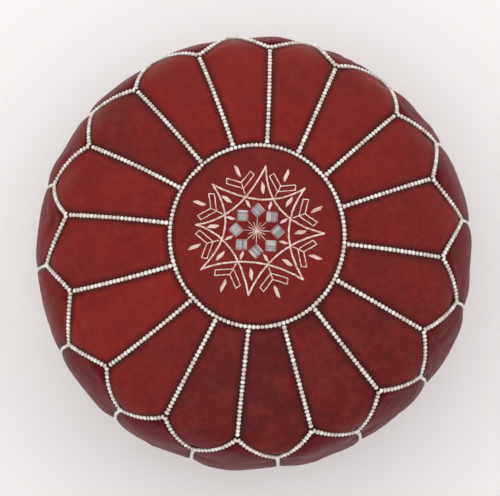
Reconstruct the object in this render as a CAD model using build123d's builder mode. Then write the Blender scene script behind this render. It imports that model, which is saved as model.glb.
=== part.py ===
"""A round floor pouf of goatskin: a medallion, a ring of petals and a ring of side panels sewn edge to edge with
thick white thread, over a cotton lining packed with wadding, closed underneath by two half discs and a metal zip.

Units are millimetres. The origin is the middle of the footprint on the floor, +Z is up, and the zip runs along X.
"""

from build123d import *

import os
from math import cos, radians, sin

# Cover: the outside profile from the middle of the top, as the radius and the degrees of turn of tangent arcs,
# which a last arc rolls onto the floor. A flat foot follows, and the leather turns up again to the base seam.
HEIGHT = 332
CROWN = ((900, 8), (300, 16), (75, 42), (250, 24), (1000, 7))
FOOT_WIDTH = 24
FOOT_ROLL = (24, 55)
LEATHER = 1.8

# Panels: the seams between petals run clockwise from the first, each a little off its even place because the
# cover is cut and sewn by hand
PETALS = 16
PITCH = 360 / PETALS
FIRST_SEAM = 85
MEDALLION_RADIUS = 100
RING_DRIFT = (-1.5, 0, 0, 0, -0.5, -1, -1, -0.5, -0.5, 0.5, 3.5, 1.5, -2.5, -3, -1.5, -2)
JOINT_DRIFT = (0, 1, 0, 0.5, -0.5, 0, 0.5, 0, 0, 0, 0, -2, -2, -1, -0.5, 0)
JOINT = (218, 292)
TIP = (246, 253)
TIP_BOW = 6
SHOULDER_TILT = 45

# Seams: a row of thick thread stands in the gap between two panels
SEAM_GAP = 6
SEAM_WIDTH = 5.8
SEAM_RISE = 2.2
BASE_SEAM = (168.3, 10.7, 1.9)
HALF_GAP = SEAM_GAP / 2
HALF_SEAM = SEAM_WIDTH / 2

# Levels and radii that the cutting solids reach between, clear of the shell that they cut
CROWN_LEVEL = 200
OVER_CROWN = HEIGHT + 20
INSIDE_SHOULDER = 150
BEYOND = 300
FOOT_SEAM_END = 173
TIP_SPREAD = 10
TIP_REACH = 180
TIP_DEPTH = 80

# Embroidery on the medallion, about its own centre
EMBROIDERY_CENTRE = (-0.5, 3)
STAR_POINTS = 8
STAR_PITCH = 360 / STAR_POINTS
FIRST_POINT = 85
THREAD_RISE = 0.9
STAR_THREAD = 1.6
FINE_THREAD = 0.9
STAR_TIP = 72
STAR_WAIST = 35
POINT_LEAF = (48, 11, 3.8)
WAIST_LEAF = (31.5, 9, 2.8)
SPRIG_LEAF = (70, 13, 3.4)
SPRIG_STEM = (42.5, 56)
CHEVRON_ROOTS = (49, 56)
CHEVRON_ENDS = ((60, 16), (65.5, 13.5))
LOZENGE = (22.3, 10.4)
ROSETTE_RAYS = (14.5, 10)
ROSETTE_EYE = 2.6

# Base: two half discs in a recess, with the zip between their straight edges
BASE_RADIUS = 166
BASE_HEIGHT = 10.2
ZIP_OPENING = 14

# Zip: every height is measured from the middle of the tape
ZIP_HEIGHT = 12.6
TAPE = (326, 2.1, 17, 0.7)
TOOTH = (1.4, 3.4, 3.0)
TOOTH_INSET = 1.0
TOOTH_BITE = 2.4
CORD = 0.9
TOOTH_PITCH = 2.6
TEETH = 112
STOP = (4, 6.4, 3.4)
SLIDER_PLACE = 136
SLIDER_PLATE = (16, 12.4, 1.6)
SLIDER_TAPER = 86
RAIL_LENGTH = 9.6
SLIDER_GAP = 0.3
SLIDER_POST = (3.5, 1.2)
SLIDER_RAIL = 1.1
RAIL_GAP = 0.35
BRIDGE = (8, 3.2, 3.6)
BRIDGE_WIRE = 1.1
PULL = (27, 8, 1.3)
PULL_EYE = (5.4, 4.2)
PULL_DROOP = 14

# Filling: the lining and the wadding follow the cover inside, over a floor that clears the zip
LINING = 1.0
INSIDE_GAP = 0.3
BAG_FLOOR = 14.9


def profile(grow):
    """Draws the outside profile, grown by a distance, and returns its first and last edges."""
    point = Vector(0, HEIGHT + grow)
    heading = Vector(1, 0)
    edges = []
    for radius, turn in CROWN:
        edges.append(JernArc(point, heading, radius + grow, -turn))
        point, heading = edges[-1] @ 1, edges[-1] % 1
    roll = (point.Y + grow) / (1 + heading.X)
    edges.append(TangentArc(point, (point.X + roll * heading.Y, -grow), tangent=heading))
    edges.append(Line(edges[-1] @ 1, (edges[-1] @ 1) - (FOOT_WIDTH, 0)))
    edges.append(JernArc(edges[-1] @ 1, (-1, 0), FOOT_ROLL[0] + grow, -FOOT_ROLL[1]))
    return edges[0], edges[-1]


def skin(outside, inside):
    """A shell of revolution between two offsets of the outside profile."""
    with BuildPart() as shell:
        with BuildSketch(Plane.XZ):
            with BuildLine():
                outer_top, outer_end = profile(outside)
                inner_top, inner_end = profile(inside)
                Line(outer_top @ 0, inner_top @ 0)
                Line(outer_end @ 1, inner_end @ 1)
            make_face()
        revolve(axis=Axis.Z)
    return shell.part


def bag(grow):
    """A closed solid of revolution inside the cover, with a flat floor above the zip."""
    with BuildPart() as solid:
        with BuildSketch(Plane.XZ):
            with BuildLine():
                top, end = profile(grow)
                floor = BAG_FLOOR - grow
                rim = (end @ 1) + (end % 1) * ((floor - (end @ 1).Y) / (end % 1).Y)
                Polyline(end @ 1, rim, (0, floor), top @ 0)
            make_face()
        revolve(axis=Axis.Z)
    return solid.part


def polar(radius, turn, height=0):
    """The point at a radius, an angle from +X and a height."""
    return Vector(radius * cos(radians(turn)), radius * sin(radians(turn)), height)


def seam_turn(number, drift):
    """The angle at which a seam between petals stands."""
    return FIRST_SEAM - PITCH * number + drift[number % PETALS]


def ring_point(number):
    """Where a seam between petals leaves the medallion."""
    return polar(MEDALLION_RADIUS, seam_turn(number, RING_DRIFT))


def joint_point(number):
    """Where a seam between petals meets the scalloped seam."""
    return polar(JOINT[0], seam_turn(number, JOINT_DRIFT), JOINT[1])


def tip_turn(number):
    """The angle at which a petal's tip and its side seam stand."""
    return FIRST_SEAM - PITCH * (number + 0.5)


def shoulder_plane(number):
    """A plane that faces the shoulder, from a petal's tip, with x across the petal and y up the slope."""
    turn = tip_turn(number)
    normal = polar(sin(radians(SHOULDER_TILT)), turn, cos(radians(SHOULDER_TILT)))
    return Plane(origin=polar(TIP[0], turn, TIP[1]), x_dir=polar(1, turn + 90), z_dir=normal)


def tip_arcs(number):
    """Draws the two arcs of the scalloped seam round a petal's tip and returns them."""
    plane = shoulder_plane(number)
    left, right = (plane.to_local_coords(joint_point(number + side)) for side in (0, 1))
    rising = SagittaArc((left.X, left.Y), (0, 0), TIP_BOW)
    falling = SagittaArc((0, 0), (right.X, right.Y), TIP_BOW)
    return rising, falling


def tip_region(number, grow):
    """A solid through the shoulder that holds everything up the slope from a petal's two arcs."""
    with BuildPart() as region:
        with BuildSketch(shoulder_plane(number)):
            with BuildLine():
                rising, falling = tip_arcs(number)
                left, right = rising @ 0, falling @ 1
                near, far = left.X + TIP_SPREAD, right.X - TIP_SPREAD
                Polyline(right, (far, right.Y), (far, TIP_REACH), (near, TIP_REACH), (near, left.Y), left)
            make_face()
            offset(amount=grow)
        extrude(amount=TIP_DEPTH, both=True)
    return region.part


def petal_corners(number):
    """A four-sided outline in plan between the seams on both sides of a petal, longer than they are."""
    starts, ends = [], []
    for side in (number, number + 1):
        near, far = ring_point(side), joint_point(side)
        starts.append(near - (far - near) * 0.1)
        ends.append(near + (far - near) * 2)
    return [(point.X, point.Y) for point in (starts[0], ends[0], ends[1], starts[1])]


def wedge_corners(turns):
    """A four-sided outline in plan between two angles, from inside the shoulder to beyond the cover."""
    (left_in, right_in), (left_out, right_out) = (
        [polar(radius, turn) for turn in turns] for radius in (INSIDE_SHOULDER, BEYOND)
    )
    return [(point.X, point.Y) for point in (left_in, left_out, right_out, right_in)]


def strip_corners(start, end):
    """A strip in plan, as wide as a seam, from one point to another."""
    along = (Vector(end.X, end.Y) - Vector(start.X, start.Y)).normalized()
    side = Vector(-along.Y, along.X) * HALF_SEAM
    return [(point.X, point.Y) for point in (start + side, end + side, end - side, start - side)]


def cut_from(shell, corners, grow=0, low=0, high=OVER_CROWN):
    """What of a shell stands over a polygon in plan, grown by a distance, between two heights."""
    with BuildPart() as piece:
        with BuildSketch(Plane.XY.offset(low)):
            Polygon(*corners, align=None)
            if grow:
                offset(amount=grow, kind=Kind.INTERSECTION)
        extrude(amount=high - low)
        add(shell, mode=Mode.INTERSECT)
    return piece.part


def save(name, piece):
    """Label a finished piece and write it under its node's name."""
    piece.label = name
    export_step(piece, f"parts/{name}.step")


os.makedirs("parts", exist_ok=True)

leather = skin(0, -LEATHER)
welt = skin(SEAM_RISE, -LEATHER)

# Medallion: a disc cut from the middle of the crown
with BuildPart() as medallion:
    with BuildSketch(Plane.XY.offset(CROWN_LEVEL)):
        Circle(MEDALLION_RADIUS - HALF_GAP)
    extrude(amount=OVER_CROWN - CROWN_LEVEL)
    add(leather, mode=Mode.INTERSECT)
save("medallion", medallion.part)

# Its seam, a ring of thread
with BuildPart() as medallion_seam:
    with BuildSketch(Plane.XY.offset(CROWN_LEVEL)):
        Circle(MEDALLION_RADIUS + HALF_SEAM)
        Circle(MEDALLION_RADIUS - HALF_SEAM, mode=Mode.SUBTRACT)
    extrude(amount=OVER_CROWN - CROWN_LEVEL)
    add(welt, mode=Mode.INTERSECT)
save("medallion_seam", medallion_seam.part)

# Petals: sixteen panels from the medallion's seam to a pointed tip on the shoulder
for number in range(PETALS):
    with BuildPart() as petal:
        add(cut_from(leather, petal_corners(number), -HALF_GAP, CROWN_LEVEL))
        add(tip_region(number, -HALF_GAP), mode=Mode.INTERSECT)
        with BuildSketch(Plane.XY.offset(CROWN_LEVEL)):
            Circle(MEDALLION_RADIUS + HALF_GAP)
        extrude(amount=OVER_CROWN - CROWN_LEVEL, mode=Mode.SUBTRACT)
    save(f"petal_{number + 1:02d}", petal.part)

# The seams between petals, each from the medallion's seam to just short of the scalloped one
with BuildPart() as petal_seams:
    for number in range(PETALS):
        near, far = ring_point(number), joint_point(number)
        along = Vector(far.X - near.X, far.Y - near.Y).normalized() * HALF_GAP
        add(cut_from(welt, strip_corners(near + along * 1.1, far - along), low=CROWN_LEVEL))
save("petal_seams", petal_seams.part)

# The scalloped seam round the tips, one run of thread all the way round
with BuildPart() as scallop_seam:
    for number in range(PETALS):
        turns = [seam_turn(side, JOINT_DRIFT) for side in (number, number + 1)]
        sector = cut_from(welt, wedge_corners(turns), low=CROWN_LEVEL)
        add(sector & (tip_region(number, HALF_SEAM) - tip_region(number, -HALF_SEAM)))
save("scallop_seam", scallop_seam.part)

# Side panels: sixteen, each from side seam to side seam and from the scallops to the base seam
for number in range(PETALS):
    with BuildPart() as side_panel:
        add(cut_from(leather, wedge_corners([tip_turn(number), tip_turn(number + 1)]), -HALF_GAP))
        add(tip_region(number, HALF_GAP), mode=Mode.SUBTRACT)
        add(tip_region(number + 1, HALF_GAP), mode=Mode.SUBTRACT)
    save(f"side_panel_{number + 1:02d}", side_panel.part)

# Side seams, from each petal's tip down and under the foot, where they lie pressed flush
with BuildPart() as side_seams:
    for number in range(PETALS):
        ends = polar(FOOT_SEAM_END, tip_turn(number)), polar(BEYOND, tip_turn(number))
        add(cut_from(welt, strip_corners(*ends), high=TIP[1] - HALF_GAP * 1.3))
save("side_seams", side_seams.part)

# Base seam: a ring of thread in the corner between the side panels and the base
with BuildPart() as base_seam:
    with BuildSketch(Plane.XZ):
        with Locations(BASE_SEAM[:2]):
            Circle(BASE_SEAM[2])
    revolve(axis=Axis.Z)
save("base_seam", base_seam.part)

# Base: two half discs in the recess, their straight edges turned back beside the zip
for name, side in (("base_half_back", 1), ("base_half_front", -1)):
    with BuildPart() as base_half:
        with BuildSketch(Plane.XY.offset(BASE_HEIGHT)):
            Circle(BASE_RADIUS)
            with Locations((0, side * (ZIP_OPENING - BEYOND) / 2)):
                Rectangle(BEYOND * 2, BEYOND, mode=Mode.SUBTRACT)
        extrude(amount=LEATHER)
    save(name, base_half.part)

# Zip tapes: woven strips behind the leather's edges
length, inner, outer, thickness = TAPE
for name, side in (("zip_tape_back", 1), ("zip_tape_front", -1)):
    with BuildPart() as zip_tape:
        with BuildSketch(Plane.XY.offset(ZIP_HEIGHT - thickness / 2)):
            with Locations((0, side * (inner + outer) / 2)):
                Rectangle(length, outer - inner)
        extrude(amount=thickness)
    save(name, zip_tape.part)

# Zip teeth: brass teeth on the cord along the edge of each tape, one row half a pitch on from the other
tooth, width, height = TOOTH
row = TEETH * TOOTH_PITCH
for name, side in (("zip_teeth_back", 1), ("zip_teeth_front", -1)):
    with BuildPart() as zip_teeth:
        with BuildSketch(Plane.XY.offset(ZIP_HEIGHT - height / 2)):
            with Locations((side * TOOTH_PITCH / 4, side * (TOOTH_INSET + width / 2))):
                with GridLocations(TOOTH_PITCH, 0, TEETH, 1):
                    Rectangle(tooth, width)
        extrude(amount=height)
        with BuildSketch(Plane.XY.offset(ZIP_HEIGHT - thickness / 2)):
            with Locations((0, side * (TOOTH_INSET + width))):
                Rectangle(BEYOND * 2, 2 * TOOTH_BITE)
        extrude(amount=thickness, mode=Mode.SUBTRACT)
        with BuildSketch(Plane.XY.offset(ZIP_HEIGHT - CORD / 2)):
            with Locations((0, side * (TOOTH_INSET + CORD / 2))):
                Rectangle(row, CORD)
        extrude(amount=CORD)
    save(name, zip_teeth.part)

# Stops: a bar clamped across both tapes at each end of the teeth
with BuildPart() as zip_stops:
    for end in (-1, 1):
        reach = end * (row + STOP[0] + TOOTH_PITCH) / 2
        with BuildSketch(Plane.YZ.offset(reach - STOP[0] / 2)):
            with Locations((0, ZIP_HEIGHT)):
                Rectangle(STOP[1], STOP[2])
                with Locations((-STOP[1] / 2, 0), (STOP[1] / 2, 0)):
                    Rectangle((STOP[1] / 2 - inner) * 2, thickness, mode=Mode.SUBTRACT)
        extrude(amount=STOP[0])
save("zip_stops", zip_stops.part)

# Slider: two waisted plates with rails, joined by a post that passes between the rows of teeth, and a bridge
# underneath that holds the pull
length, width, plate = SLIDER_PLATE
plate_gap = TOOTH[2] / 2 + SLIDER_GAP
under = ZIP_HEIGHT - plate_gap - plate
with BuildPart() as zip_slider:
    for level in (under, ZIP_HEIGHT + plate_gap):
        with BuildSketch(Plane.XY.offset(level)):
            with Locations((SLIDER_PLACE, 0)):
                Trapezoid(width, length, SLIDER_TAPER, rotation=90)
        extrude(amount=plate)
    fillet(zip_slider.edges().filter_by(Axis.Z), radius=2)
    rail = plate_gap - thickness / 2 - RAIL_GAP
    for level in (ZIP_HEIGHT - plate_gap, ZIP_HEIGHT + plate_gap - rail):
        with BuildSketch(Plane.XY.offset(level)):
            with Locations((SLIDER_PLACE, TOOTH_INSET + TOOTH[1] + SLIDER_GAP + SLIDER_RAIL / 2)):
                Rectangle(RAIL_LENGTH, SLIDER_RAIL)
            with Locations((SLIDER_PLACE, -TOOTH_INSET - TOOTH[1] - SLIDER_GAP - SLIDER_RAIL / 2)):
                Rectangle(RAIL_LENGTH, SLIDER_RAIL)
        extrude(amount=rail)
    with BuildSketch(Plane.XY.offset(under + plate / 2)):
        with Locations((SLIDER_PLACE, 0)):
            SlotOverall(*SLIDER_POST)
    extrude(amount=2 * plate_gap + plate)
    with BuildSketch(Plane.XZ.offset(-BRIDGE[1] / 2)):
        with Locations((SLIDER_PLACE, under - BRIDGE[2] / 2)):
            Rectangle(BRIDGE[0], BRIDGE[2])
        with Locations((SLIDER_PLACE, under - (BRIDGE[2] - BRIDGE_WIRE) / 2)):
            Rectangle(BRIDGE[0] - 2 * BRIDGE_WIRE, BRIDGE[2] - BRIDGE_WIRE, mode=Mode.SUBTRACT)
    extrude(amount=BRIDGE[1])
save("zip_slider", zip_slider.part)

# Pull: a tab whose round crossbar turns inside the bridge, drooping towards the floor
length, width, thick = PULL
lean, drop = cos(radians(PULL_DROOP)), sin(radians(PULL_DROOP))
pivot = Vector(SLIDER_PLACE, 0, under - (BRIDGE[2] - BRIDGE_WIRE) / 2)
tab = Plane(origin=pivot, x_dir=(-lean, 0, -drop), z_dir=(-drop, 0, lean))
with BuildPart() as zip_pull:
    with BuildSketch(tab) as outline:
        with Locations((length / 2, 0)):
            Rectangle(length, width)
        fillet(outline.vertices().group_by(Axis.X)[-1], radius=width / 3)
        with Locations((thick / 2, 0)):
            Rectangle(*PULL_EYE, align=(Align.MIN, Align.CENTER), mode=Mode.SUBTRACT)
    extrude(amount=thick / 2, both=True)
    with BuildSketch(Plane(origin=pivot, x_dir=(1, 0, 0), z_dir=(0, 1, 0))):
        Circle(thick / 2)
    extrude(amount=width / 2, both=True)
save("zip_pull", zip_pull.part)

# Lining and wadding
with BuildPart() as lining:
    add(bag(-LEATHER - INSIDE_GAP))
    add(bag(-LEATHER - INSIDE_GAP - LINING), mode=Mode.SUBTRACT)
save("lining", lining.part)
save("wadding", bag(-LEATHER - 2 * INSIDE_GAP - LINING))

# Embroidery: threads laid on the medallion, each motif drawn flat over its own centre and cut from a thin layer
threads = skin(THREAD_RISE, 0)
MOTIF_PLANE = Plane(origin=(*EMBROIDERY_CENTRE, CROWN_LEVEL))


def leaf(place, length, width, turn):
    """A pointed satin-stitch leaf, lying along a ray from the motif's centre."""
    with BuildSketch() as shape:
        with BuildLine():
            tips = polar(place - length / 2, turn), polar(place + length / 2, turn)
            SagittaArc(*tips, width / 2)
            SagittaArc(*tips[::-1], width / 2)
        make_face()
    return shape.sketch


def stitched(drawing):
    """A flat drawing as thread on the crown."""
    with BuildPart() as motif:
        add(MOTIF_PLANE * drawing)
        extrude(amount=OVER_CROWN - CROWN_LEVEL)
        add(threads, mode=Mode.INTERSECT)
    return motif.part


point_turns = [FIRST_POINT - STAR_PITCH * count for count in range(STAR_POINTS)]
waist_turns = [turn - STAR_PITCH / 2 for turn in point_turns]

# The star: eight arcs that bend inwards, each from one point to the next but one
with BuildSketch() as star:
    for turn in point_turns:
        with BuildLine():
            ThreePointArc(polar(STAR_TIP, turn - STAR_PITCH), polar(STAR_WAIST, turn),
                          polar(STAR_TIP, turn + STAR_PITCH))
        trace(line_width=STAR_THREAD)
save("star", stitched(star.sketch))

# Leaves inside the points, inside the waists and at the ends of the sprigs
for name, sizes, turns in (
    ("point_leaves", POINT_LEAF, point_turns),
    ("waist_leaves", WAIST_LEAF, waist_turns),
    ("sprig_leaves", SPRIG_LEAF, waist_turns),
):
    with BuildSketch() as leaves:
        for turn in turns:
            add(leaf(*sizes, turn))
    save(name, stitched(leaves.sketch))

# Sprigs: a stem outside each waist with two nested chevrons, joined at their ends
with BuildSketch() as sprig:
    with BuildLine():
        Line((SPRIG_STEM[0], 0), (SPRIG_STEM[1], 0))
    trace(line_width=FINE_THREAD)
    with BuildLine():
        (inner_end, spread), (outer_end, outer_spread) = CHEVRON_ENDS
        Polyline((inner_end, spread), (CHEVRON_ROOTS[0], 0), (inner_end, -spread),
                 (outer_end, -outer_spread), (CHEVRON_ROOTS[1], 0), (outer_end, outer_spread), close=True)
    trace(line_width=FINE_THREAD)
with BuildSketch() as sprigs:
    for turn in waist_turns:
        add(sprig.sketch, rotation=turn)
save("sprigs", stitched(sprigs.sketch))

# Lozenges: eight squares of hatching round the middle, corner inwards
with BuildSketch() as lozenges:
    with PolarLocations(LOZENGE[0], STAR_POINTS, start_angle=FIRST_POINT):
        Rectangle(LOZENGE[1], LOZENGE[1], rotation=45)
save("lozenges", stitched(lozenges.sketch))

# Rosette: sixteen rays of one stitch each, long and short by turns, flat because the crown is level there
with BuildPart() as rosette:
    with BuildSketch(Plane(origin=(*EMBROIDERY_CENTRE, HEIGHT))):
        for reach, turns in zip(ROSETTE_RAYS, (point_turns, waist_turns)):
            with PolarLocations(0, STAR_POINTS, start_angle=turns[0]):
                with Locations((ROSETTE_EYE, 0)):
                    Rectangle(reach - ROSETTE_EYE, FINE_THREAD, align=(Align.MIN, Align.CENTER))
    extrude(amount=THREAD_RISE)
save("rosette", rosette.part)
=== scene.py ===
import math

import bmesh
import bpy
import numpy as np
from mathutils import Matrix, Vector, noise
from mathutils.bvhtree import BVHTree
from mathutils.kdtree import KDTree


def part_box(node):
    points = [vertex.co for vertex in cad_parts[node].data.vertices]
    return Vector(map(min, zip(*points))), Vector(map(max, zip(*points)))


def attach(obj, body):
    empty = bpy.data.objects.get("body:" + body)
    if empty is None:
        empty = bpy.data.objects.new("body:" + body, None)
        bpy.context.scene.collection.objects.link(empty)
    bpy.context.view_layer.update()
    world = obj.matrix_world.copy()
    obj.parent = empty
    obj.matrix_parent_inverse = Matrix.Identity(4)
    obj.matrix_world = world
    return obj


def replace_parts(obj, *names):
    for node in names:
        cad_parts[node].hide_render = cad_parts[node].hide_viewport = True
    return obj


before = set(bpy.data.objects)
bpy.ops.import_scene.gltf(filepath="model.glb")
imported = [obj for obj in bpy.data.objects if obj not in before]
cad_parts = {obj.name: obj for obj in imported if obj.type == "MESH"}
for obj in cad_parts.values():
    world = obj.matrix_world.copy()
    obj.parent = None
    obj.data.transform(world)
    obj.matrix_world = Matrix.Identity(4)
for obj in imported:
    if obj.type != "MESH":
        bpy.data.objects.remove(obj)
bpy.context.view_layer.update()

# --- Cover: shape ------------------------------------------------------------------------------------------
# Thirty-three goatskin panels sewn edge to edge round a drum of wadding. The section follows the filled shape
# from the middle of the top to the seam round the base; the pattern is a little uneven, as hand work is.
MM = 0.001
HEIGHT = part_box("medallion")[1].z
PETALS = 16
FIRST_SEAM = 85
MEDALLION_RADIUS = 100 * MM
JOINT_RADIUS = 218 * MM
TIP_RADIUS = 244 * MM
# The section is a chain of tangent arcs, each its radius in millimetres and its turn in degrees, then a flat foot
CROWN = ((900, 8), (300, 16), (75, 42), (250, 24), (1000, 7), (44.03, 83))
FOOT_WIDTH = 24
FOOT_ROLL = (24, 55)
# Degrees that each petal seam is off its even place, at the medallion and at the scalloped seam
RING_DRIFT = (-1.5, 0, 0, 0, -0.5, -1, -1, -0.5, -0.5, 0.5, 3.5, 1.5, -2.5, -3, -1.5, -2)
JOINT_DRIFT = (0, 1, 0, 0.5, -0.5, 0, 0.5, 0, 0, 0, 0, -2, -2, -1, -0.5, 0)
# How far the top is off round, how much tighter its middle and its waist are, and where its middle lies
OVAL = 0.025
RING_TIGHT = 0.015
WAIST_TIGHT = np.array((0, 0.013))
TOP_SHIFT = np.array((3.5, -0.5)) * MM
TOP_EDGE, TOP_BLEND, INNER_BLEND, FOOT_BLEND = 235 * MM, 60 * MM, 118 * MM, 80 * MM
# For each petal, how much its end bows out (0 is a plain point) and how far its tip falls short
TIP_BOWS = np.array((-0.5, 0.3, -0.2, -0.5, 0, 0, 0, 0.1, 0.3, 0.2, -0.4, -0.4, 0.4, -0.1, 0.2, -0.6))
TIP_DRIFT = np.array((0, 0, 0, 0, 0, 0, 0, 0, 2, 2, 5, 6, 3, 2, 0, 0)) * MM
# How far the middle of a side panel lies in from round
SIDE_FLAT = 4 * MM

turns = [0.0]
lengths = [0.0]
for radius, turn in CROWN:
    lengths.append(lengths[-1] + radius * math.radians(turn) * MM)
    turns.append(turns[-1] - math.radians(turn))
lengths.append(lengths[-1] + FOOT_WIDTH * MM)
turns.append(turns[-1])
lengths.append(lengths[-1] + FOOT_ROLL[0] * math.radians(FOOT_ROLL[1]) * MM)
turns.append(turns[-1] - math.radians(FOOT_ROLL[1]))
run = np.linspace(0, lengths[-1], 4000)
slope = np.interp(run, lengths, turns)
step = run[1] - run[0]
middle = (slope[1:] + slope[:-1]) / 2
reach = np.concatenate(([0], np.cumsum(np.cos(middle) * step)))
level = HEIGHT + np.concatenate(([0], np.cumsum(np.sin(middle) * step)))
widest = int(np.argmax(reach))
RING_RUN, JOINT_RUN, TIP_RUN = (
    float(np.interp(radius, reach[:widest], run[:widest]))
    for radius in (MEDALLION_RADIUS, JOINT_RADIUS, TIP_RADIUS)
)
BASE_RUN = float(run[-1])


def scallop_run(seams):
    """How far down the section the scalloped seam lies, where whole numbers are the seams between petals."""
    across = 1 - np.abs(2 * np.mod(seams, 1) - 1)
    petal = np.floor(seams).astype(int) % PETALS
    bowed = across + TIP_BOWS[petal] * across * (1 - across)
    return JOINT_RUN + (TIP_RUN - TIP_DRIFT[petal] - JOINT_RUN) * bowed


def drift(seams, rows):
    """How many degrees the pattern is off its even place."""
    places = np.arange(PETALS + 1)
    ring = np.interp(np.mod(seams, PETALS), places, RING_DRIFT + RING_DRIFT[:1])
    halves = np.arange(2 * PETALS + 1) / 2
    joints = [value for joint in JOINT_DRIFT for value in (joint, 0)] + [JOINT_DRIFT[0]]
    scallop = np.interp(np.mod(seams, PETALS), halves, joints)
    petal = np.clip(rows, 0, 1)
    fade = np.clip(1 - 3 * (rows - 1), 0, 1)
    return (ring * (1 - petal) + scallop * petal) * fade


def hand_made(points):
    """The cover isn't quite round: its top is longer than wide, and the medallion sits off the middle."""
    flat, height = points[..., :2], points[..., 2:]
    top = np.clip((height - TOP_EDGE) / TOP_BLEND, 0, 1)
    inner = top * np.clip((JOINT_RADIUS - np.linalg.norm(flat, axis=-1, keepdims=True)) / INNER_BLEND, 0, 1)
    waist = np.clip(height / FOOT_BLEND, 0, 1) * (1 - top)
    size = 1 + OVAL * top * np.array((-1, 1)) - RING_TIGHT * inner - WAIST_TIGHT * waist
    return np.concatenate((flat * size + inner * TOP_SHIFT, height), -1)


def cover(seams, rows):
    """Points of the cover and its outward normals. Seams counts round from the first petal seam; rows is 0 at the
    medallion, 1 at the scalloped seam and 2 at the base seam."""
    seams, rows = np.asarray(seams, float), np.asarray(rows, float)
    scallop = scallop_run(seams)
    upper = RING_RUN + (scallop - RING_RUN) * rows
    lower = scallop + (BASE_RUN - scallop) * (rows - 1)
    along = np.where(rows < 1, upper, lower)
    angle = np.radians(FIRST_SEAM - 360 / PETALS * seams + drift(seams, rows))
    radius, height, fall = (np.interp(along, run, table) for table in (reach, level, slope))
    normal = np.stack((-np.sin(fall) * np.cos(angle), -np.sin(fall) * np.sin(angle), np.cos(fall)), -1)
    points = np.stack((np.cos(angle) * radius, np.sin(angle) * radius, height), -1)
    between = 1 - (2 * np.mod(seams + 0.5, 1) - 1) ** 2
    flattened = SIDE_FLAT * between * np.sin(math.pi * np.clip(rows - 1, 0, 1))
    return hand_made(points) - normal * flattened[..., None], normal


# --- Cover: filling out --------------------------------------------------------------------------------------
# The panels are held along their seams and swell between them where the wadding pushes the slack skin out. The
# whole cover swells in one cloth simulation, and each panel is then cut from it.
COLUMNS = 20
PETAL_ROWS = 38
SIDE_ROWS = 66
DISC = 56
SEAM_CROWDING = 0.55
SLACK = 0.02
PRESSURE = 5.0
# The most that any point moves out of, into and along the cover
MOST_OUT, MOST_IN, MOST_ALONG = 7 * MM, 3 * MM, 4 * MM
FRAMES = 20
ON_FLOOR = 1 * MM
GROOVE = 2.4 * MM
DENT, DENT_SCALE = 3.2 * MM, 17
CREASE, CREASE_SCALE, CREASE_WIDTH = 1.8 * MM, (42, 42, 20), 0.22
CREASED_PATCHES = 9
CLEAR_OF_SEAM = 16 * MM
MEDALLION_CALM = 0.45


def crowd(places):
    """Even places from 0 to 1, drawn together towards both ends."""
    return places - SEAM_CROWDING * np.sin(2 * np.pi * places) / (2 * np.pi)


bm = bmesh.new()
row_layer = bm.verts.layers.float.new("row")
line = []
for index in range(PETAL_ROWS + SIDE_ROWS + 1):
    vert = bm.verts.new((1, 0, -index))
    vert[row_layer] = index
    line.append(vert)
edges = [bm.edges.new(pair) for pair in zip(line, line[1:])]
bmesh.ops.spin(bm, geom=line + edges, cent=(0, 0, 0), axis=(0, 0, -1), angle=math.tau, steps=COLUMNS * PETALS,
               use_merge=True, use_normal_flip=False, use_duplicate=False)
grid_rows = np.array([vert[row_layer] for vert in bm.verts]).round().astype(int)
spots = np.array([vert.co for vert in bm.verts])
column = np.mod(np.round(np.arctan2(-spots[:, 1], spots[:, 0]) / math.tau * COLUMNS * PETALS), COLUMNS * PETALS)
half = COLUMNS / 2
seams = (np.floor(column / half) + crowd(np.mod(column, half) / half)) / 2
rows = np.where(grid_rows <= PETAL_ROWS, crowd(grid_rows / PETAL_ROWS),
                1 + crowd((grid_rows - PETAL_ROWS) / SIDE_ROWS))
points, normals = cover(seams, rows)
at_side_seam = (np.mod(column, COLUMNS) == half) & (grid_rows >= PETAL_ROWS)
at_petal_seam = (np.mod(column, COLUMNS) == 0) & (grid_rows <= PETAL_ROWS)
at_row = np.isin(grid_rows, (0, PETAL_ROWS, PETAL_ROWS + SIDE_ROWS))
held = at_side_seam | at_petal_seam | at_row | (points[:, 2] < ON_FLOOR)
for vert, point in zip(bm.verts, points):
    vert.co = point
round_verts = len(bm.verts)
bmesh.ops.create_grid(bm, x_segments=DISC, y_segments=DISC, size=1)
disc = list(bm.verts)[round_verts:]
square = np.array([vert.co[:2] for vert in disc])
on_rim = np.abs(square).max(1) > 1 - 1e-5
disc_flat = square * np.sqrt(1 - square[:, ::-1] ** 2 / 2)
disc_far = np.hypot(*disc_flat.T)
disc_height = np.interp(disc_far * RING_RUN, run, level)
disc_reach = np.interp(disc_far * RING_RUN, run, reach) / np.maximum(disc_far, 1e-9)
disc_points = hand_made(np.concatenate((disc_flat * disc_reach[:, None], disc_height[:, None]), -1))
for vert, point in zip(disc, disc_points):
    vert.co = point
bmesh.ops.recalc_face_normals(bm, faces=bm.faces)
skin_mesh = bpy.data.meshes.new("cover")
bm.to_mesh(skin_mesh)
bm.free()
skin = bpy.data.objects.new("cover", skin_mesh)
bpy.context.scene.collection.objects.link(skin)
rest = np.concatenate((points, disc_points))
faces = [tuple(polygon.vertices) for polygon in skin_mesh.polygons]
held = np.concatenate((held, on_rim))
pinned = skin.vertex_groups.new(name="seams")
pinned.add([int(index) for index in np.flatnonzero(held)], 1.0, "REPLACE")

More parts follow.
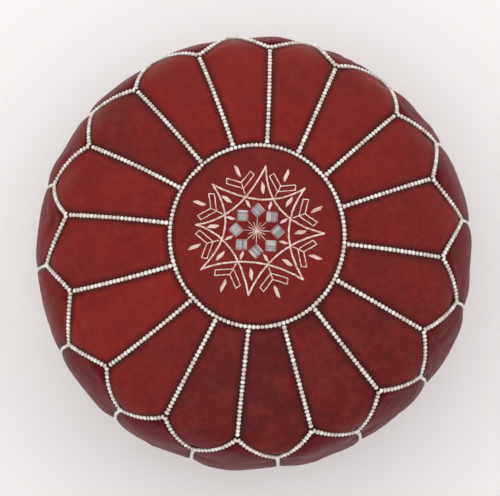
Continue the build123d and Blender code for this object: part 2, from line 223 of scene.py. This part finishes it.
cloth = skin.modifiers.new("swell", "CLOTH")
cloth.settings.quality = 6
cloth.settings.mass = 0.3
cloth.settings.tension_stiffness = 20
cloth.settings.compression_stiffness = 20
cloth.settings.shear_stiffness = 8
cloth.settings.bending_stiffness = 0.6
cloth.settings.vertex_group_mass = "seams"
cloth.settings.shrink_min = -SLACK
cloth.settings.use_pressure = True
cloth.settings.uniform_pressure_force = PRESSURE
cloth.settings.effector_weights.gravity = 0
cloth.point_cache.frame_start, cloth.point_cache.frame_end = 1, FRAMES
for number in range(1, FRAMES + 1):
    bpy.context.scene.frame_set(number)
shape = bpy.data.meshes.new_from_object(skin.evaluated_get(bpy.context.evaluated_depsgraph_get()))
settled = np.array([vert.co for vert in shape.vertices])
skin.modifiers.remove(cloth)
bpy.data.objects.remove(skin)
normals = np.zeros_like(rest)
corners = np.array(faces)
face_normals = np.cross(rest[corners[:, 2]] - rest[corners[:, 0]], rest[corners[:, 3]] - rest[corners[:, 1]])
for corner in range(4):
    np.add.at(normals, corners[:, corner], face_normals)
normals /= np.linalg.norm(normals, axis=1)[:, None]
moved = settled - rest
out = (moved * normals).sum(1)
along = moved - normals * out[:, None]
distance = np.linalg.norm(along, axis=1)
along *= np.minimum(1, MOST_ALONG / np.maximum(distance, 1e-9))[:, None]
out = np.clip(out, -MOST_IN, MOST_OUT)

# The thread draws the leather down beside each seam
out = out - GROOVE * held
sewn = np.flatnonzero(held)
seam_tree = KDTree(len(sewn))
for index in sewn:
    seam_tree.insert(rest[index], int(index))
seam_tree.balance()
from_seam = np.array([seam_tree.find(point)[2] for point in rest])

# Lumps of wadding and the skin's own stretch leave dents and drawn creases away from the seams, in patches
dents = np.array([noise.noise(Vector(point) * DENT_SCALE) for point in rest])
creases = np.array([abs(noise.noise(Vector(point * CREASE_SCALE + (0, 0, 3)))) for point in rest])
patches = np.array([noise.noise(Vector(point) * CREASED_PATCHES + Vector((5, 0, 0))) for point in rest])
on_medallion = np.arange(len(rest)) >= round_verts
clear = np.clip(from_seam / CLEAR_OF_SEAM, 0, 1) * np.where(on_medallion, MEDALLION_CALM, 1)
drawn = np.clip(1 - creases / CREASE_WIDTH, 0, 1) * np.clip(patches * 3, 0, 1)
out += clear * (DENT * dents - CREASE * drawn)
settled = rest + along + normals * out[:, None]
settled[:, 2] = np.maximum(settled[:, 2], 0)


# --- Goatskin ------------------------------------------------------------------------------------------------
# Vegetable-tanned goatskin dyed ox-blood by hand and lightly waxed. The dye takes unevenly, so each panel has
# its own depth of red with clouds in it, and a pebbled grain breaks up the soft shine. The panels' depths also
# hold painted shade, darker on the panels that face away from the lights, and the colour is painted darker beside
# each seam as painted shade. The pebbles are drawn 1.6 mm wide, about twice their real width, so that they show.
def linear(colour):
    """An sRGB hex colour as the shader's linear one."""
    parts = [int(colour[place:place + 2], 16) / 255 for place in (1, 3, 5)]
    return (*[part / 12.92 if part <= 0.04045 else ((part + 0.055) / 1.055) ** 2.4 for part in parts], 1)


def add_node(tree, kind, inputs=None, **settings):
    """Adds a node, gives it its settings, and sets or links its inputs."""
    made = tree.nodes.new("ShaderNode" + kind)
    for name, value in settings.items():
        setattr(made, name, value)
    for name, value in (inputs or {}).items():
        if isinstance(value, bpy.types.NodeSocket):
            tree.links.new(value, made.inputs[name])
        else:
            made.inputs[name].default_value = value
    return made


def new_material(name):
    """An empty node material with its Principled shader."""
    material = bpy.data.materials.new(name)
    material.use_nodes = True
    tree = material.node_tree
    return material, tree, tree.nodes["Principled BSDF"]


def goatskin(name, deep, fresh, worn, shine, even=0.0):
    """Dyed goatskin: deep and fresh are the ends of its dye, worn is the shade where it has faded, shine is how
    much wax is on it. A panel's own depth is its dye attribute, or even where it has none. Beside each seam the
    colour is painted darker, as painted shade of the fold there."""
    material, tree, shader = new_material(name)
    place = add_node(tree, "TexCoord").outputs["Object"]
    panel = add_node(tree, "Attribute", attribute_name="dye").outputs["Fac"]
    clouds = add_node(tree, "TexNoise", {"Vector": place, "Scale": 18, "Detail": 5,
                                         "Roughness": 0.65}).outputs["Fac"]
    specks = add_node(tree, "TexNoise", {"Vector": place, "Scale": 190, "Detail": 3}).outputs["Fac"]
    mottle = add_node(tree, "Mix", {"Factor": 0.4, 2: clouds, 3: specks}).outputs[0]
    dye = add_node(tree, "Math", {0: mottle, 1: panel}, operation="ADD").outputs[0]
    depth = add_node(tree, "MapRange", {"Value": dye, "From Min": 0.79 - even,
                                        "From Max": 1.29 - even}).outputs["Result"]
    reds = add_node(tree, "Mix", {"Factor": depth, 6: linear(deep), 7: linear(fresh)}, data_type="RGBA")
    streaks = add_node(tree, "TexNoise", {"Vector": place, "Scale": 48, "Detail": 6, "Roughness": 0.7,
                                          "Distortion": 0.7}).outputs["Fac"]
    faded = add_node(tree, "MapRange", {"Value": streaks, "From Min": 0.48, "From Max": 0.78, "To Max": 0.5})
    body = add_node(tree, "Mix", {"Factor": faded.outputs["Result"], 6: reds.outputs[2], 7: linear(worn)},
                    data_type="RGBA")
    # Painted shade: beside each seam the colour goes towards a near-black red, standing in for the shade in the
    # fold there
    seam = add_node(tree, "Attribute", attribute_name="painted_seam_shade").outputs["Fac"]
    painted_seam_darkening = add_node(tree, "MapRange", {"Value": seam, "To Max": 0.8}, interpolation_type="SMOOTHSTEP").outputs[0]
    colour = add_node(tree, "Mix", {"Factor": painted_seam_darkening, 6: body.outputs[2], 7: linear("#2a0709")}, data_type="RGBA")
    tree.links.new(colour.outputs[2], shader.inputs["Base Color"])
    rough = add_node(tree, "MapRange", {"Value": streaks, "From Min": 0.3, "From Max": 0.7, "To Min": 0.34,
                                        "To Max": 0.5})
    tree.links.new(rough.outputs["Result"], shader.inputs["Roughness"])
    pebbles = add_node(tree, "TexVoronoi", {"Vector": place, "Scale": 620, "Smoothness": 0.6},
                       feature="SMOOTH_F1").outputs["Distance"]
    grain = add_node(tree, "Bump", {"Height": pebbles, "Strength": 0.25, "Distance": 0.4 * MM})
    creases = add_node(tree, "Bump", {"Height": streaks, "Strength": 0.6, "Distance": 2.8 * MM,
                                      "Normal": grain.outputs["Normal"]})
    tree.links.new(creases.outputs["Normal"], shader.inputs["Normal"])
    shader.inputs["Specular IOR Level"].default_value = shine
    return material


OXBLOOD = "#5a1015", "#861c18", "#8a302c"
# The top keeps its wax, which gives it a soft sheen
waxed = goatskin("waxed ox-blood goatskin", *OXBLOOD, 0.14)
# The sides are rubbed by hands and legs, so they have less wax and look flatter
rubbed = goatskin("rubbed ox-blood goatskin", *OXBLOOD, 0.06)


# --- Medallion, petals and side panels -----------------------------------------------------------------------
# Each panel is one piece of skin about 1.5 mm thick, its edge turned in and drawn down under the thread. They
# are cut here from the filled cover, so neighbours meet along one line.
SKIN_THICKNESS = 1.5 * MM
# Where the painted shade beside each seam starts, and the width over which it fades out
SEAM_SHADE_START, SEAM_SHADE_WIDTH = 2.4 * MM, 8 * MM
# How much darker the side panels are painted than their petals, as painted shade
SIDE_PAINTED_SHADE = 0.2
panel_of = np.zeros(len(faces), int)
for index, face in enumerate(faces):
    if face[0] >= round_verts:
        continue
    turn = column[list(face)]
    mid = (turn.mean() if np.ptp(turn) < COLUMNS else turn[turn > COLUMNS].mean() + 0.5) / COLUMNS
    if grid_rows[list(face)].mean() < PETAL_ROWS:
        panel_of[index] = 1 + int(mid) % PETALS
    else:
        panel_of[index] = 1 + PETALS + int(mid - 0.5) % PETALS

# Painted shade: the leather is painted darker in the fold beside each seam, where shade falls
painted_seam_shade = np.clip(1 - (from_seam - SEAM_SHADE_START) / SEAM_SHADE_WIDTH, 0, 1).astype(np.float32)


def cut_panel(name, number, dye, finish):
    """One panel of the cover as its own piece."""
    mine = corners[panel_of == number]
    used, local = np.unique(mine, return_inverse=True)
    mesh = bpy.data.meshes.new(name)
    mesh.from_pydata(settled[used], [], local.reshape(mine.shape).tolist())
    mesh.attributes.new("dye", "FLOAT", "POINT").data.foreach_set("value", np.full(len(used), dye, np.float32))
    mesh.attributes.new("painted_seam_shade", "FLOAT", "POINT").data.foreach_set("value", painted_seam_shade[used])
    for polygon in mesh.polygons:
        polygon.use_smooth = True
    piece = bpy.data.objects.new(name, mesh)
    bpy.context.scene.collection.objects.link(piece)
    thickness = piece.modifiers.new("thickness", "SOLIDIFY")
    thickness.thickness, thickness.offset = SKIN_THICKNESS, -1
    smooth = piece.modifiers.new("smooth", "SUBSURF")
    smooth.levels = smooth.render_levels = 1
    mesh.materials.append(finish)
    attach(piece, "pouf")
    return piece


# How far each petal has taken the dye, from the first seam round. It is partly the petals' own uneven dye and
# partly painted shade: the petals towards the front, which face away from the lights, are set darker.
DYES_AND_SHADE = (0.63, 0.63, 0.58, 0.57, 0.48, 0.44, 0.4, 0.32, 0.38, 0.52, 0.7, 0.65, 0.65, 0.5, 0.65, 0.65)
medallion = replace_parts(cut_panel("medallion_skin", 0, 0.53, waxed), "medallion")
for number, dye in zip(range(1, PETALS + 1), DYES_AND_SHADE):
    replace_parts(cut_panel(f"petal_skin_{number:02d}", number, dye, waxed), f"petal_{number:02d}")
    # Painted shade: each side panel is set darker than its petal, as the sides face away from the light above
    side = cut_panel(f"side_skin_{number:02d}", number + PETALS, dye - SIDE_PAINTED_SHADE, rubbed)
    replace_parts(side, f"side_panel_{number:02d}")


# --- Seam thread ---------------------------------------------------------------------------------------------
# Thick cream cotton, three strands to a stitch, laid straight over the seam from panel to panel and pulled down
# hard, so that each seam reads as a row of beads.
STITCH_PITCH = 4.7 * MM
STITCH_HALF = 2.1 * MM
STRAND_RADIUS = 0.9 * MM
STRAND_SPACING = 1.3 * MM
STRAND_TUCK = 0.72
STITCH_RISE = 0.85
STITCH_SUNK = 0.3 * MM
STRAND_SIDES = 5
STRAND_STEPS = 4
SCALLOP_PROUD = 1.4
SIDE_WIDE = 0.75
STEPS = 60
draw = np.random.default_rng(7)


def cotton(name, light, shaded):
    """Matt cotton thread: light on its strands, shaded between them and where hands have greyed it."""
    material, tree, shader = new_material(name)
    place = add_node(tree, "TexCoord").outputs["Object"]
    stitch = add_node(tree, "Attribute", attribute_name="shade").outputs["Fac"]
    fluff = add_node(tree, "TexNoise", {"Vector": place, "Scale": 900, "Detail": 3}).outputs["Fac"]
    worn = add_node(tree, "Math", {0: stitch, 1: fluff}, operation="MULTIPLY").outputs[0]
    tone = add_node(tree, "MapRange", {"Value": worn, "From Min": 0.05, "From Max": 0.5}).outputs["Result"]
    colour = add_node(tree, "Mix", {"Factor": tone, 6: linear(light), 7: linear(shaded)}, data_type="RGBA")
    tree.links.new(colour.outputs[2], shader.inputs["Base Color"])
    twist = add_node(tree, "Bump", {"Height": fluff, "Strength": 0.5, "Distance": 0.3 * MM})
    tree.links.new(twist.outputs["Normal"], shader.inputs["Normal"])
    shader.inputs["Roughness"].default_value = 0.85
    shader.inputs["Sheen Weight"].default_value = 0.15
    return material


# Nearly white, with a warm shade on the stitches that hands have greyed
cream_cotton = cotton("cream cotton cord", "#fff9f3", "#dccabf")


def stitch_shape():
    """One stitch over a seam that runs along X: strands side by side, each an arch closed at both feet."""
    bm = bmesh.new()
    for strand in (-1, 0, 1):
        before = set(bm.verts)
        ring = bmesh.ops.create_circle(bm, segments=STRAND_SIDES, radius=STRAND_RADIUS, cap_ends=False,
                                       matrix=Matrix.Translation((0, STITCH_HALF, 0)))["verts"]
        near = list({edge for vert in ring for edge in vert.link_edges})
        arch = bmesh.ops.spin(bm, geom=ring + near, cent=(0, 0, 0), axis=(1, 0, 0), angle=math.pi,
                              steps=STRAND_STEPS, use_merge=False, use_normal_flip=False, use_duplicate=False)
        bmesh.ops.contextual_create(bm, geom=near)
        far = [item for item in arch["geom_last"] if isinstance(item, bmesh.types.BMEdge)]
        bmesh.ops.contextual_create(bm, geom=far)
        mine = [vert for vert in bm.verts if vert not in before]
        narrow = STRAND_TUCK if strand else 1
        bmesh.ops.scale(bm, vec=(1, narrow, narrow * STITCH_RISE), verts=mine)
        bmesh.ops.translate(bm, vec=(strand * STRAND_SPACING, 0, -STITCH_SUNK), verts=mine)
    bmesh.ops.recalc_face_normals(bm, faces=bm.faces)
    mesh = bpy.data.meshes.new("stitch")
    bm.to_mesh(mesh)
    bm.free()
    return mesh


def lay(name, shape, places, material, node):
    """Repeats a small mesh at every place, each a matrix, as one piece, every copy a shade of its own. Stitches
    that the pouf stands on are pressed flat."""
    points = np.array([vert.co for vert in shape.vertices])
    shape_faces = [tuple(polygon.vertices) for polygon in shape.polygons]
    matrices = np.array(places)
    every = np.einsum("nij,kj->nki", matrices[:, :3, :3], points) + matrices[:, None, :3, 3]
    every[..., 2] = np.maximum(every[..., 2], 0)
    count = len(points)
    mesh = bpy.data.meshes.new(name)
    mesh.from_pydata(every.reshape(-1, 3), [], [
        [corner + copy * count for corner in face] for copy in range(len(places)) for face in shape_faces])
    shades = np.repeat(draw.uniform(0, 1, len(places)), count).astype(np.float32)
    mesh.attributes.new("shade", "FLOAT", "POINT").data.foreach_set("value", shades)
    for polygon in mesh.polygons:
        polygon.use_smooth = True
    piece = bpy.data.objects.new(name, mesh)
    bpy.context.scene.collection.objects.link(piece)
    mesh.materials.append(material)
    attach(piece, "pouf")
    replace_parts(piece, node)


def frames_along(points, normals, pitch, trim=(0.5, 0.5), proud=1.0, wide=1.0):
    """Matrices every pitch along a line, X along it and Z out of the surface. Proud stitches stand up more, and
    wide ones reach further across."""
    gaps = np.linalg.norm(np.diff(points, axis=0), axis=1)
    run_so_far = np.concatenate(([0], np.cumsum(gaps)))
    total = run_so_far[-1] - (trim[0] + trim[1] - 1) * pitch
    count = max(1, int(round(total / pitch)))
    stops = (trim[0] - 0.5) * pitch + (np.arange(count) + 0.5) * total / count
    made = []
    for stop in stops:
        spot = np.array([np.interp(stop, run_so_far, points[:, axis]) for axis in range(3)])
        ahead = np.array([np.interp(stop + pitch / 2, run_so_far, points[:, axis]) for axis in range(3)])
        behind = np.array([np.interp(stop - pitch / 2, run_so_far, points[:, axis]) for axis in range(3)])
        up = np.array([np.interp(stop, run_so_far, normals[:, axis]) for axis in range(3)])
        tangent = ahead - behind
        tangent /= np.linalg.norm(tangent)
        up -= tangent * (up @ tangent)
        up /= np.linalg.norm(up)
        lean = Matrix.Rotation(math.radians(draw.normal(0, 3)), 3, "Z")
        size = Matrix.Diagonal(draw.normal(1, 0.04, 3) * (0.95, wide, proud))
        frame3 = Matrix((tangent, np.cross(up, tangent), up)).transposed() @ lean @ size
        matrix = frame3.to_4x4()
        matrix.translation = Vector(spot + up * (proud - 1) * STITCH_HALF)
        made.append(matrix)
    return made


stitch = stitch_shape()
around = np.linspace(0, PETALS, STEPS * PETALS + 1)
ring_line = cover(around, np.zeros_like(around))
lay("medallion_stitches", stitch, frames_along(*ring_line, STITCH_PITCH), cream_cotton,
    "medallion_seam")
petal_places, scallop_places, side_places = [], [], []
for number in range(PETALS):
    down = np.linspace(0, 1, STEPS)
    petal_places += frames_along(*cover(np.full(STEPS, number), down), STITCH_PITCH, (1.05, 1.1))
    side_line = cover(np.full(STEPS, number + 0.5), down + 1)
    side_places += frames_along(*side_line, STITCH_PITCH, (1.2, 1.2), wide=SIDE_WIDE)
    for start in (number, number + 0.5):
        across = np.linspace(start, start + 0.5, STEPS)
        scallop_places += frames_along(*cover(across, np.ones(STEPS)), STITCH_PITCH, proud=SCALLOP_PROUD)
lay("petal_stitches", stitch, petal_places, cream_cotton, "petal_seams")
lay("scallop_stitches", stitch, scallop_places, cream_cotton, "scallop_seam")
lay("side_stitches", stitch, side_places, cream_cotton, "side_seams")
base_line = cover(around, np.full_like(around, 2))
lay("base_stitches", stitch, frames_along(*base_line, STITCH_PITCH), cream_cotton, "base_seam")


# --- Embroidery ----------------------------------------------------------------------------------------------
# A star with leaves, sprigs and a rosette, drawn on the medallion in one pale pink cotton thread, and eight
# lozenges hatched in silver-grey silk. Every stitch is a short length of thread pulled flat onto the skin.
MOTIF_CENTRE = np.array((3.0, 2.6)) * MM
STAR_TIPS = ((82, 73), (42, 71.5), (-2, 74), (-46.5, 73.5), (-97.5, 71), (-145.5, 74), (-186, 67), (-227, 72))
STAR_WAIST = 35
STAR_WIDTH, FINE_WIDTH = 2.0, 1.2
POINT_LEAF = (48, 11, 4.0)
WAIST_LEAF = (31.5, 8.5, 3.0)
SPRIG_LEAF = (70, 13.5, 3.6)
SPRIG_STEM = (42.5, 56)
CHEVRON = ((60, 16), (49, 0), (60, -16), (65.5, -13.5), (56, 0), (65.5, 13.5), (60, 16))
LOZENGE_TURN, LOZENGE_PLACE, LOZENGE_SIDE, LOZENGE_THREADS = 87.5, 22.7, 12.2, 10
ROSETTE_RAYS = (15, 10.5)
LEAF_THREAD, LEAF_GAP, RAY_THREAD = 0.85, 0.6, 0.8
STEM_OVERLAP = 0.72
THREAD_FLATNESS = 0.7

top_of_skin = BVHTree.FromObject(medallion, bpy.context.evaluated_depsgraph_get())


def thread_shape():
    """A stitch one unit long and one wide, along X, with both ends sunk."""
    bm = bmesh.new()
    bmesh.ops.create_cone(bm, segments=6, radius1=0.5, radius2=0.5, depth=1, cap_ends=True,
                          matrix=Matrix.Rotation(math.pi / 2, 4, "Y"))
    long_edges = [edge for edge in bm.edges if abs(edge.verts[0].co.x - edge.verts[1].co.x) > 0.5]
    bmesh.ops.subdivide_edges(bm, edges=long_edges, cuts=3)
    tips = [vert for vert in bm.verts if abs(vert.co.x) > 0.45]
    bmesh.ops.scale(bm, vec=(1, 0.45, 0.45), verts=tips)
    bmesh.ops.translate(bm, vec=(0, 0, -0.3), verts=tips)
    mesh = bpy.data.meshes.new("thread")
    bm.to_mesh(mesh)
    bm.free()
    return mesh


def on_skin(spot):
    """The point of the skin under a place in the drawing, in millimetres from the motif's centre."""
    above = Vector((*(np.asarray(spot[:2]) * MM + MOTIF_CENTRE), HEIGHT + 50 * MM))
    return top_of_skin.ray_cast(above, Vector((0, 0, -1)))[0]


def ray(radius, turn, aside=0.0):
    """A place in the drawing at a radius and an angle, moved aside."""
    turn = math.radians(turn)
    return np.array((radius * math.cos(turn) - aside * math.sin(turn),
                     radius * math.sin(turn) + aside * math.cos(turn)))


def thread_at(start, end, width):
    """The matrix that lays one stitch between two places in the drawing."""
    near, far = on_skin(start), on_skin(end)
    forward = (far - near).normalized()
    across = Vector((0, 0, 1)).cross(forward).normalized()
    up = forward.cross(across)
    size = Matrix.Diagonal(((far - near).length, width * MM, width * THREAD_FLATNESS * MM))
    matrix = (Matrix((forward, across, up)).transposed() @ size).to_4x4()
    matrix.translation = (near + far) / 2 + up * width * MM * 0.15
    return matrix


def stem_stitch(path, length, width, slant=8):
    """Stitches along a path, each a little across the line and over the one before."""
    path = np.asarray(path, float)
    so_far = np.concatenate(([0], np.cumsum(np.linalg.norm(np.diff(path, axis=0), axis=1))))
    count = max(1, round(so_far[-1] / (length * STEM_OVERLAP)))
    made = []
    for stop in (np.arange(count) + 0.5) * so_far[-1] / count:
        middle = np.array([np.interp(stop, so_far, path[:, axis]) for axis in (0, 1)])
        ahead = np.array([np.interp(stop + 0.5, so_far, path[:, axis]) for axis in (0, 1)])
        behind = np.array([np.interp(stop - 0.5, so_far, path[:, axis]) for axis in (0, 1)])
        turn = math.degrees(math.atan2(*(ahead - behind)[::-1])) + slant + draw.normal(0, 2)
        half = ray(length / 2, turn)
        middle = middle + draw.normal(0, 0.1, 2)
        made.append(thread_at(middle - half, middle + half, width))
    return made


def satin_leaf(place, length, width, turn):
    """A leaf of threads side by side, lying aslant along a ray."""
    made = []
    count = round(width / LEAF_GAP)
    for index in range(count):
        aside = ((index + 0.5) / count - 0.5) * width
        half = length / 2 * (1 - 0.6 * (aside / width) ** 2)
        slip = aside * 1.1 + draw.normal(0, 0.2)
        start, end = ray(place + slip - half, turn, aside), ray(place + slip + half, turn, aside + 0.25)
        made.append(thread_at(start, end, LEAF_THREAD))
    return made


# Matt cotton that has taken a blush from the leather's dye
pink_cotton = cotton("pale pink embroidery cotton", "#f4ddd7", "#cfa39d")
# Cool grey beside the pink, darker between its threads
silver_silk = cotton("silver-grey embroidery silk", "#d8cfd0", "#8f8488")
thread = thread_shape()
star, sprigs, rosette, lozenges = [], [], [], []
leaves = {"point": [], "waist": [], "sprig": []}
for index, (turn, tip) in enumerate(STAR_TIPS):
    before, after = STAR_TIPS[index - 1], STAR_TIPS[(index + 1) % len(STAR_TIPS)]
    start, end = ray(before[1], before[0]), ray(after[1], after[0])
    bend = 2 * ray(STAR_WAIST, turn) - (start + end) / 2
    star += stem_stitch([(1 - part) ** 2 * start + 2 * part * (1 - part) * bend + part ** 2 * end
                         for part in np.linspace(0, 1, 40)], 5, STAR_WIDTH)
    leaves["point"] += satin_leaf(*POINT_LEAF, turn)
    waist = turn + math.remainder(after[0] - turn, 360) / 2
    leaves["waist"] += satin_leaf(*WAIST_LEAF, waist)
    leaves["sprig"] += satin_leaf(*SPRIG_LEAF, waist)
    sprigs += stem_stitch([ray(SPRIG_STEM[0], waist), ray(SPRIG_STEM[1], waist)], 4, FINE_WIDTH, 0)
    for near, far in zip(CHEVRON, CHEVRON[1:]):
        sprigs += stem_stitch([ray(near[0], waist, near[1]), ray(far[0], waist, far[1])], 4, FINE_WIDTH, 0)
    even = LOZENGE_TURN - 360 / len(STAR_TIPS) * index
    for long, aside in zip(ROSETTE_RAYS, (0, 180 / len(STAR_TIPS))):
        rosette.append(thread_at(ray(0, even), ray(long, even + aside), RAY_THREAD))
    for count in range(LOZENGE_THREADS):
        aside = ((count + 0.5) / LOZENGE_THREADS - 0.5) * LOZENGE_SIDE
        ends = [ray(LOZENGE_PLACE, even) + ray(side * LOZENGE_SIDE / 2, even + 45, aside) for side in (-1, 1)]
        lozenges.append(thread_at(*ends, LOZENGE_SIDE / LOZENGE_THREADS * 0.9))
lay("star_threads", thread, star, pink_cotton, "star")
lay("point_leaf_threads", thread, leaves["point"], pink_cotton, "point_leaves")
lay("waist_leaf_threads", thread, leaves["waist"], pink_cotton, "waist_leaves")
lay("sprig_leaf_threads", thread, leaves["sprig"], pink_cotton, "sprig_leaves")
lay("sprig_threads", thread, sprigs, pink_cotton, "sprigs")
lay("rosette_threads", thread, rosette, pink_cotton, "rosette")
lay("lozenge_threads", thread, lozenges, silver_silk, "lozenges")


# --- Lining --------------------------------------------------------------------------------------------------
# A plain cotton bag packed with textile wadding, which fills the cover out and stays inside it. Its floor is
# flat, clear of the zip.
BAG_INSET = 9 * MM
BAG_FLOOR = 17 * MM
BAG_FLOOR_RADII = (168 * MM, 120 * MM, 60 * MM, 0)
BAG_ROWS = 70
BAG_COLUMNS = 96
bm = bmesh.new()
stops = np.linspace(0, BASE_RUN, BAG_ROWS)
bag_radius, bag_level, bag_fall = (np.interp(stops, run, table) for table in (reach, level, slope))
bag_radius, bag_level = bag_radius + np.sin(bag_fall) * BAG_INSET, bag_level - np.cos(bag_fall) * BAG_INSET
section = [(max(radius, 0), 0, height) for radius, height in zip(bag_radius, bag_level)]
section += [(radius, 0, BAG_FLOOR) for radius in BAG_FLOOR_RADII]
line = [bm.verts.new(spot) for spot in section]
edges = [bm.edges.new(pair) for pair in zip(line, line[1:])]
bmesh.ops.spin(bm, geom=line + edges, cent=(0, 0, 0), axis=(0, 0, 1), angle=math.tau, steps=BAG_COLUMNS,
               use_merge=True, use_normal_flip=False, use_duplicate=False)
bmesh.ops.remove_doubles(bm, verts=bm.verts, dist=0.01 * MM)
bmesh.ops.recalc_face_normals(bm, faces=bm.faces)
for vert, spot in zip(bm.verts, hand_made(np.array([vert.co for vert in bm.verts]))):
    vert.co = spot
bag_mesh = bpy.data.meshes.new("filled_lining")
bm.to_mesh(bag_mesh)
bm.free()
for polygon in bag_mesh.polygons:
    polygon.use_smooth = True
bag = bpy.data.objects.new("filled_lining", bag_mesh)
bpy.context.scene.collection.objects.link(bag)


def woven(name, light, dark, thread_width):
    """Plain-weave cotton: threads over and under in two directions, drawn coarser than real ones to show."""
    material, tree, shader = new_material(name)
    place = add_node(tree, "TexCoord").outputs["Object"]
    scale = math.pi / (10 * thread_width)
    warp = add_node(tree, "TexWave", {"Vector": place, "Scale": scale, "Distortion": 0.4}, bands_direction="X")
    weft = add_node(tree, "TexWave", {"Vector": place, "Scale": scale, "Distortion": 0.4}, bands_direction="Y")
    cross = add_node(tree, "Math", {0: warp.outputs["Fac"], 1: weft.outputs["Fac"]},
                     operation="MULTIPLY").outputs[0]
    colour = add_node(tree, "Mix", {"Factor": cross, 6: linear(dark), 7: linear(light)}, data_type="RGBA")
    tree.links.new(colour.outputs[2], shader.inputs["Base Color"])
    bump = add_node(tree, "Bump", {"Height": cross, "Strength": 0.4, "Distance": 0.3 * MM})
    tree.links.new(bump.outputs["Normal"], shader.inputs["Normal"])
    shader.inputs["Roughness"].default_value = 0.9
    return material


# Dull oatmeal cloth with the weave just showing
calico = woven("unbleached calico", "#e3dccb", "#c3b8a0", 0.8 * MM)
bag_mesh.materials.append(calico)
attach(bag, "pouf")
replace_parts(bag, "lining", "wadding")


# --- Base and zip --------------------------------------------------------------------------------------------
# Two half discs of the same skin, left unwaxed, are sewn to the feet of the side panels and meet at a brass zip
# on woven tapes. All of it keeps its CAD shape.
# Unwaxed skin has next to no shine, and it is paler where it has faded
base_skin = goatskin("unwaxed ox-blood goatskin", "#571115", "#7a1f1c", "#8a4a44", 0.1, 0.5)
# Dark cloth that sets the brass off
tape_weave = woven("dark red zip tape", "#4b1416", "#2c0a0c", 0.5 * MM)


def brass(name, bright, dull):
    """Cast brass, tumbled and handled: bright on the edges, browned where hands don't reach."""
    material, tree, shader = new_material(name)
    place = add_node(tree, "TexCoord").outputs["Object"]
    stain = add_node(tree, "TexNoise", {"Vector": place, "Scale": 350, "Detail": 3}).outputs["Fac"]
    colour = add_node(tree, "Mix", {"Factor": stain, 6: linear(bright), 7: linear(dull)}, data_type="RGBA")
    tree.links.new(colour.outputs[2], shader.inputs["Base Color"])
    rough = add_node(tree, "MapRange", {"Value": stain, "To Min": 0.22, "To Max": 0.5}).outputs["Result"]
    tree.links.new(rough, shader.inputs["Roughness"])
    shader.inputs["Metallic"].default_value = 1
    return material


# The one bright metal: warm, a little browned
zip_brass = brass("tumbled brass", "#d8b878", "#8a6a38")
for names, material in (
    (("base_half_back", "base_half_front"), base_skin),
    (("zip_tape_back", "zip_tape_front"), tape_weave),
    (("zip_teeth_back", "zip_teeth_front", "zip_stops", "zip_slider", "zip_pull"), zip_brass),
):
    for name in names:
        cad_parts[name].data.materials.clear()
        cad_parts[name].data.materials.append(material)


# --- Studio --------------------------------------------------------------------------------------------------
# A plain pale floor under soft light, seen from almost straight above. The floor is open where the pouf hides
# it, so that the base can be looked at from below, and lies a hair under the feet.
FLOOR_OPENING, FLOOR_EDGE, FLOOR_DROP = 180 * MM, 8, 0.2 * MM
SOFTBOX_SIZE = 1.8
CAMERA_AIM = Vector((-4.4, 5.7, 170)) * MM
CAMERA_FAR = 1379 * MM
CAMERA_TILT = math.radians(7.47)
bm = bmesh.new()
rim = bmesh.ops.create_circle(bm, segments=64, radius=FLOOR_OPENING, cap_ends=False,
                              matrix=Matrix.Translation((0, 0, -FLOOR_DROP)))["verts"]
outward = bmesh.ops.extrude_edge_only(bm, edges=bm.edges[:])["geom"]
outer = [item for item in outward if item not in rim and isinstance(item, bmesh.types.BMVert)]
bmesh.ops.scale(bm, vec=(FLOOR_EDGE / FLOOR_OPENING, FLOOR_EDGE / FLOOR_OPENING, 1), verts=outer)
for face in bm.faces:
    if face.normal.z < 0:
        face.normal_flip()
floor_mesh = bpy.data.meshes.new("floor")
bm.to_mesh(floor_mesh)
bm.free()
floor = bpy.data.objects.new("floor", floor_mesh)
bpy.context.scene.collection.objects.link(floor)
paper, tree, shader = new_material("pale studio paper")
shader.inputs["Base Color"].default_value = linear("#f8f5f4")
shader.inputs["Roughness"].default_value = 0.9
floor_mesh.materials.append(paper)

world = bpy.data.worlds.new("studio")
bpy.context.scene.world = world
world.use_nodes = True
world.node_tree.nodes["Background"].inputs["Color"].default_value = linear("#ffffff")
world.node_tree.nodes["Background"].inputs["Strength"].default_value = 0.68


def softbox(name, place, power):
    """A square soft light that faces the pouf."""
    lamp = bpy.data.lights.new(name, "AREA")
    lamp.size, lamp.energy = SOFTBOX_SIZE, power
    light = bpy.data.objects.new(name, lamp)
    bpy.context.scene.collection.objects.link(light)
    light.location = place
    light.rotation_euler = (Vector((0, 0, 0.2)) - Vector(place)).to_track_quat("-Z", "Y").to_euler()


for name, place, power in (
    ("key", (-1.2, 1.5, 1.9), 7.2),
    ("back", (0.5, 2.0, 1.5), 7.8),
    ("left", (-1.7, -0.3, 2.0), 7.3),
    ("right", (1.7, 0.3, 2.0), 8),
    ("front", (-0.1, -1.3, 2.3), 9),
):
    softbox(name, place, power)

camera_data = bpy.data.cameras.new("camera")
camera_data.lens, camera_data.sensor_width = 80.1, 36
camera = bpy.data.objects.new("camera", camera_data)
bpy.context.scene.collection.objects.link(camera)
back = Vector((0, -math.sin(CAMERA_TILT), math.cos(CAMERA_TILT)))
camera.location = CAMERA_AIM + back * CAMERA_FAR
camera.rotation_euler = (CAMERA_TILT, 0, 0)
bpy.context.scene.camera = camera
bpy.context.scene.view_settings.view_transform = "Standard"
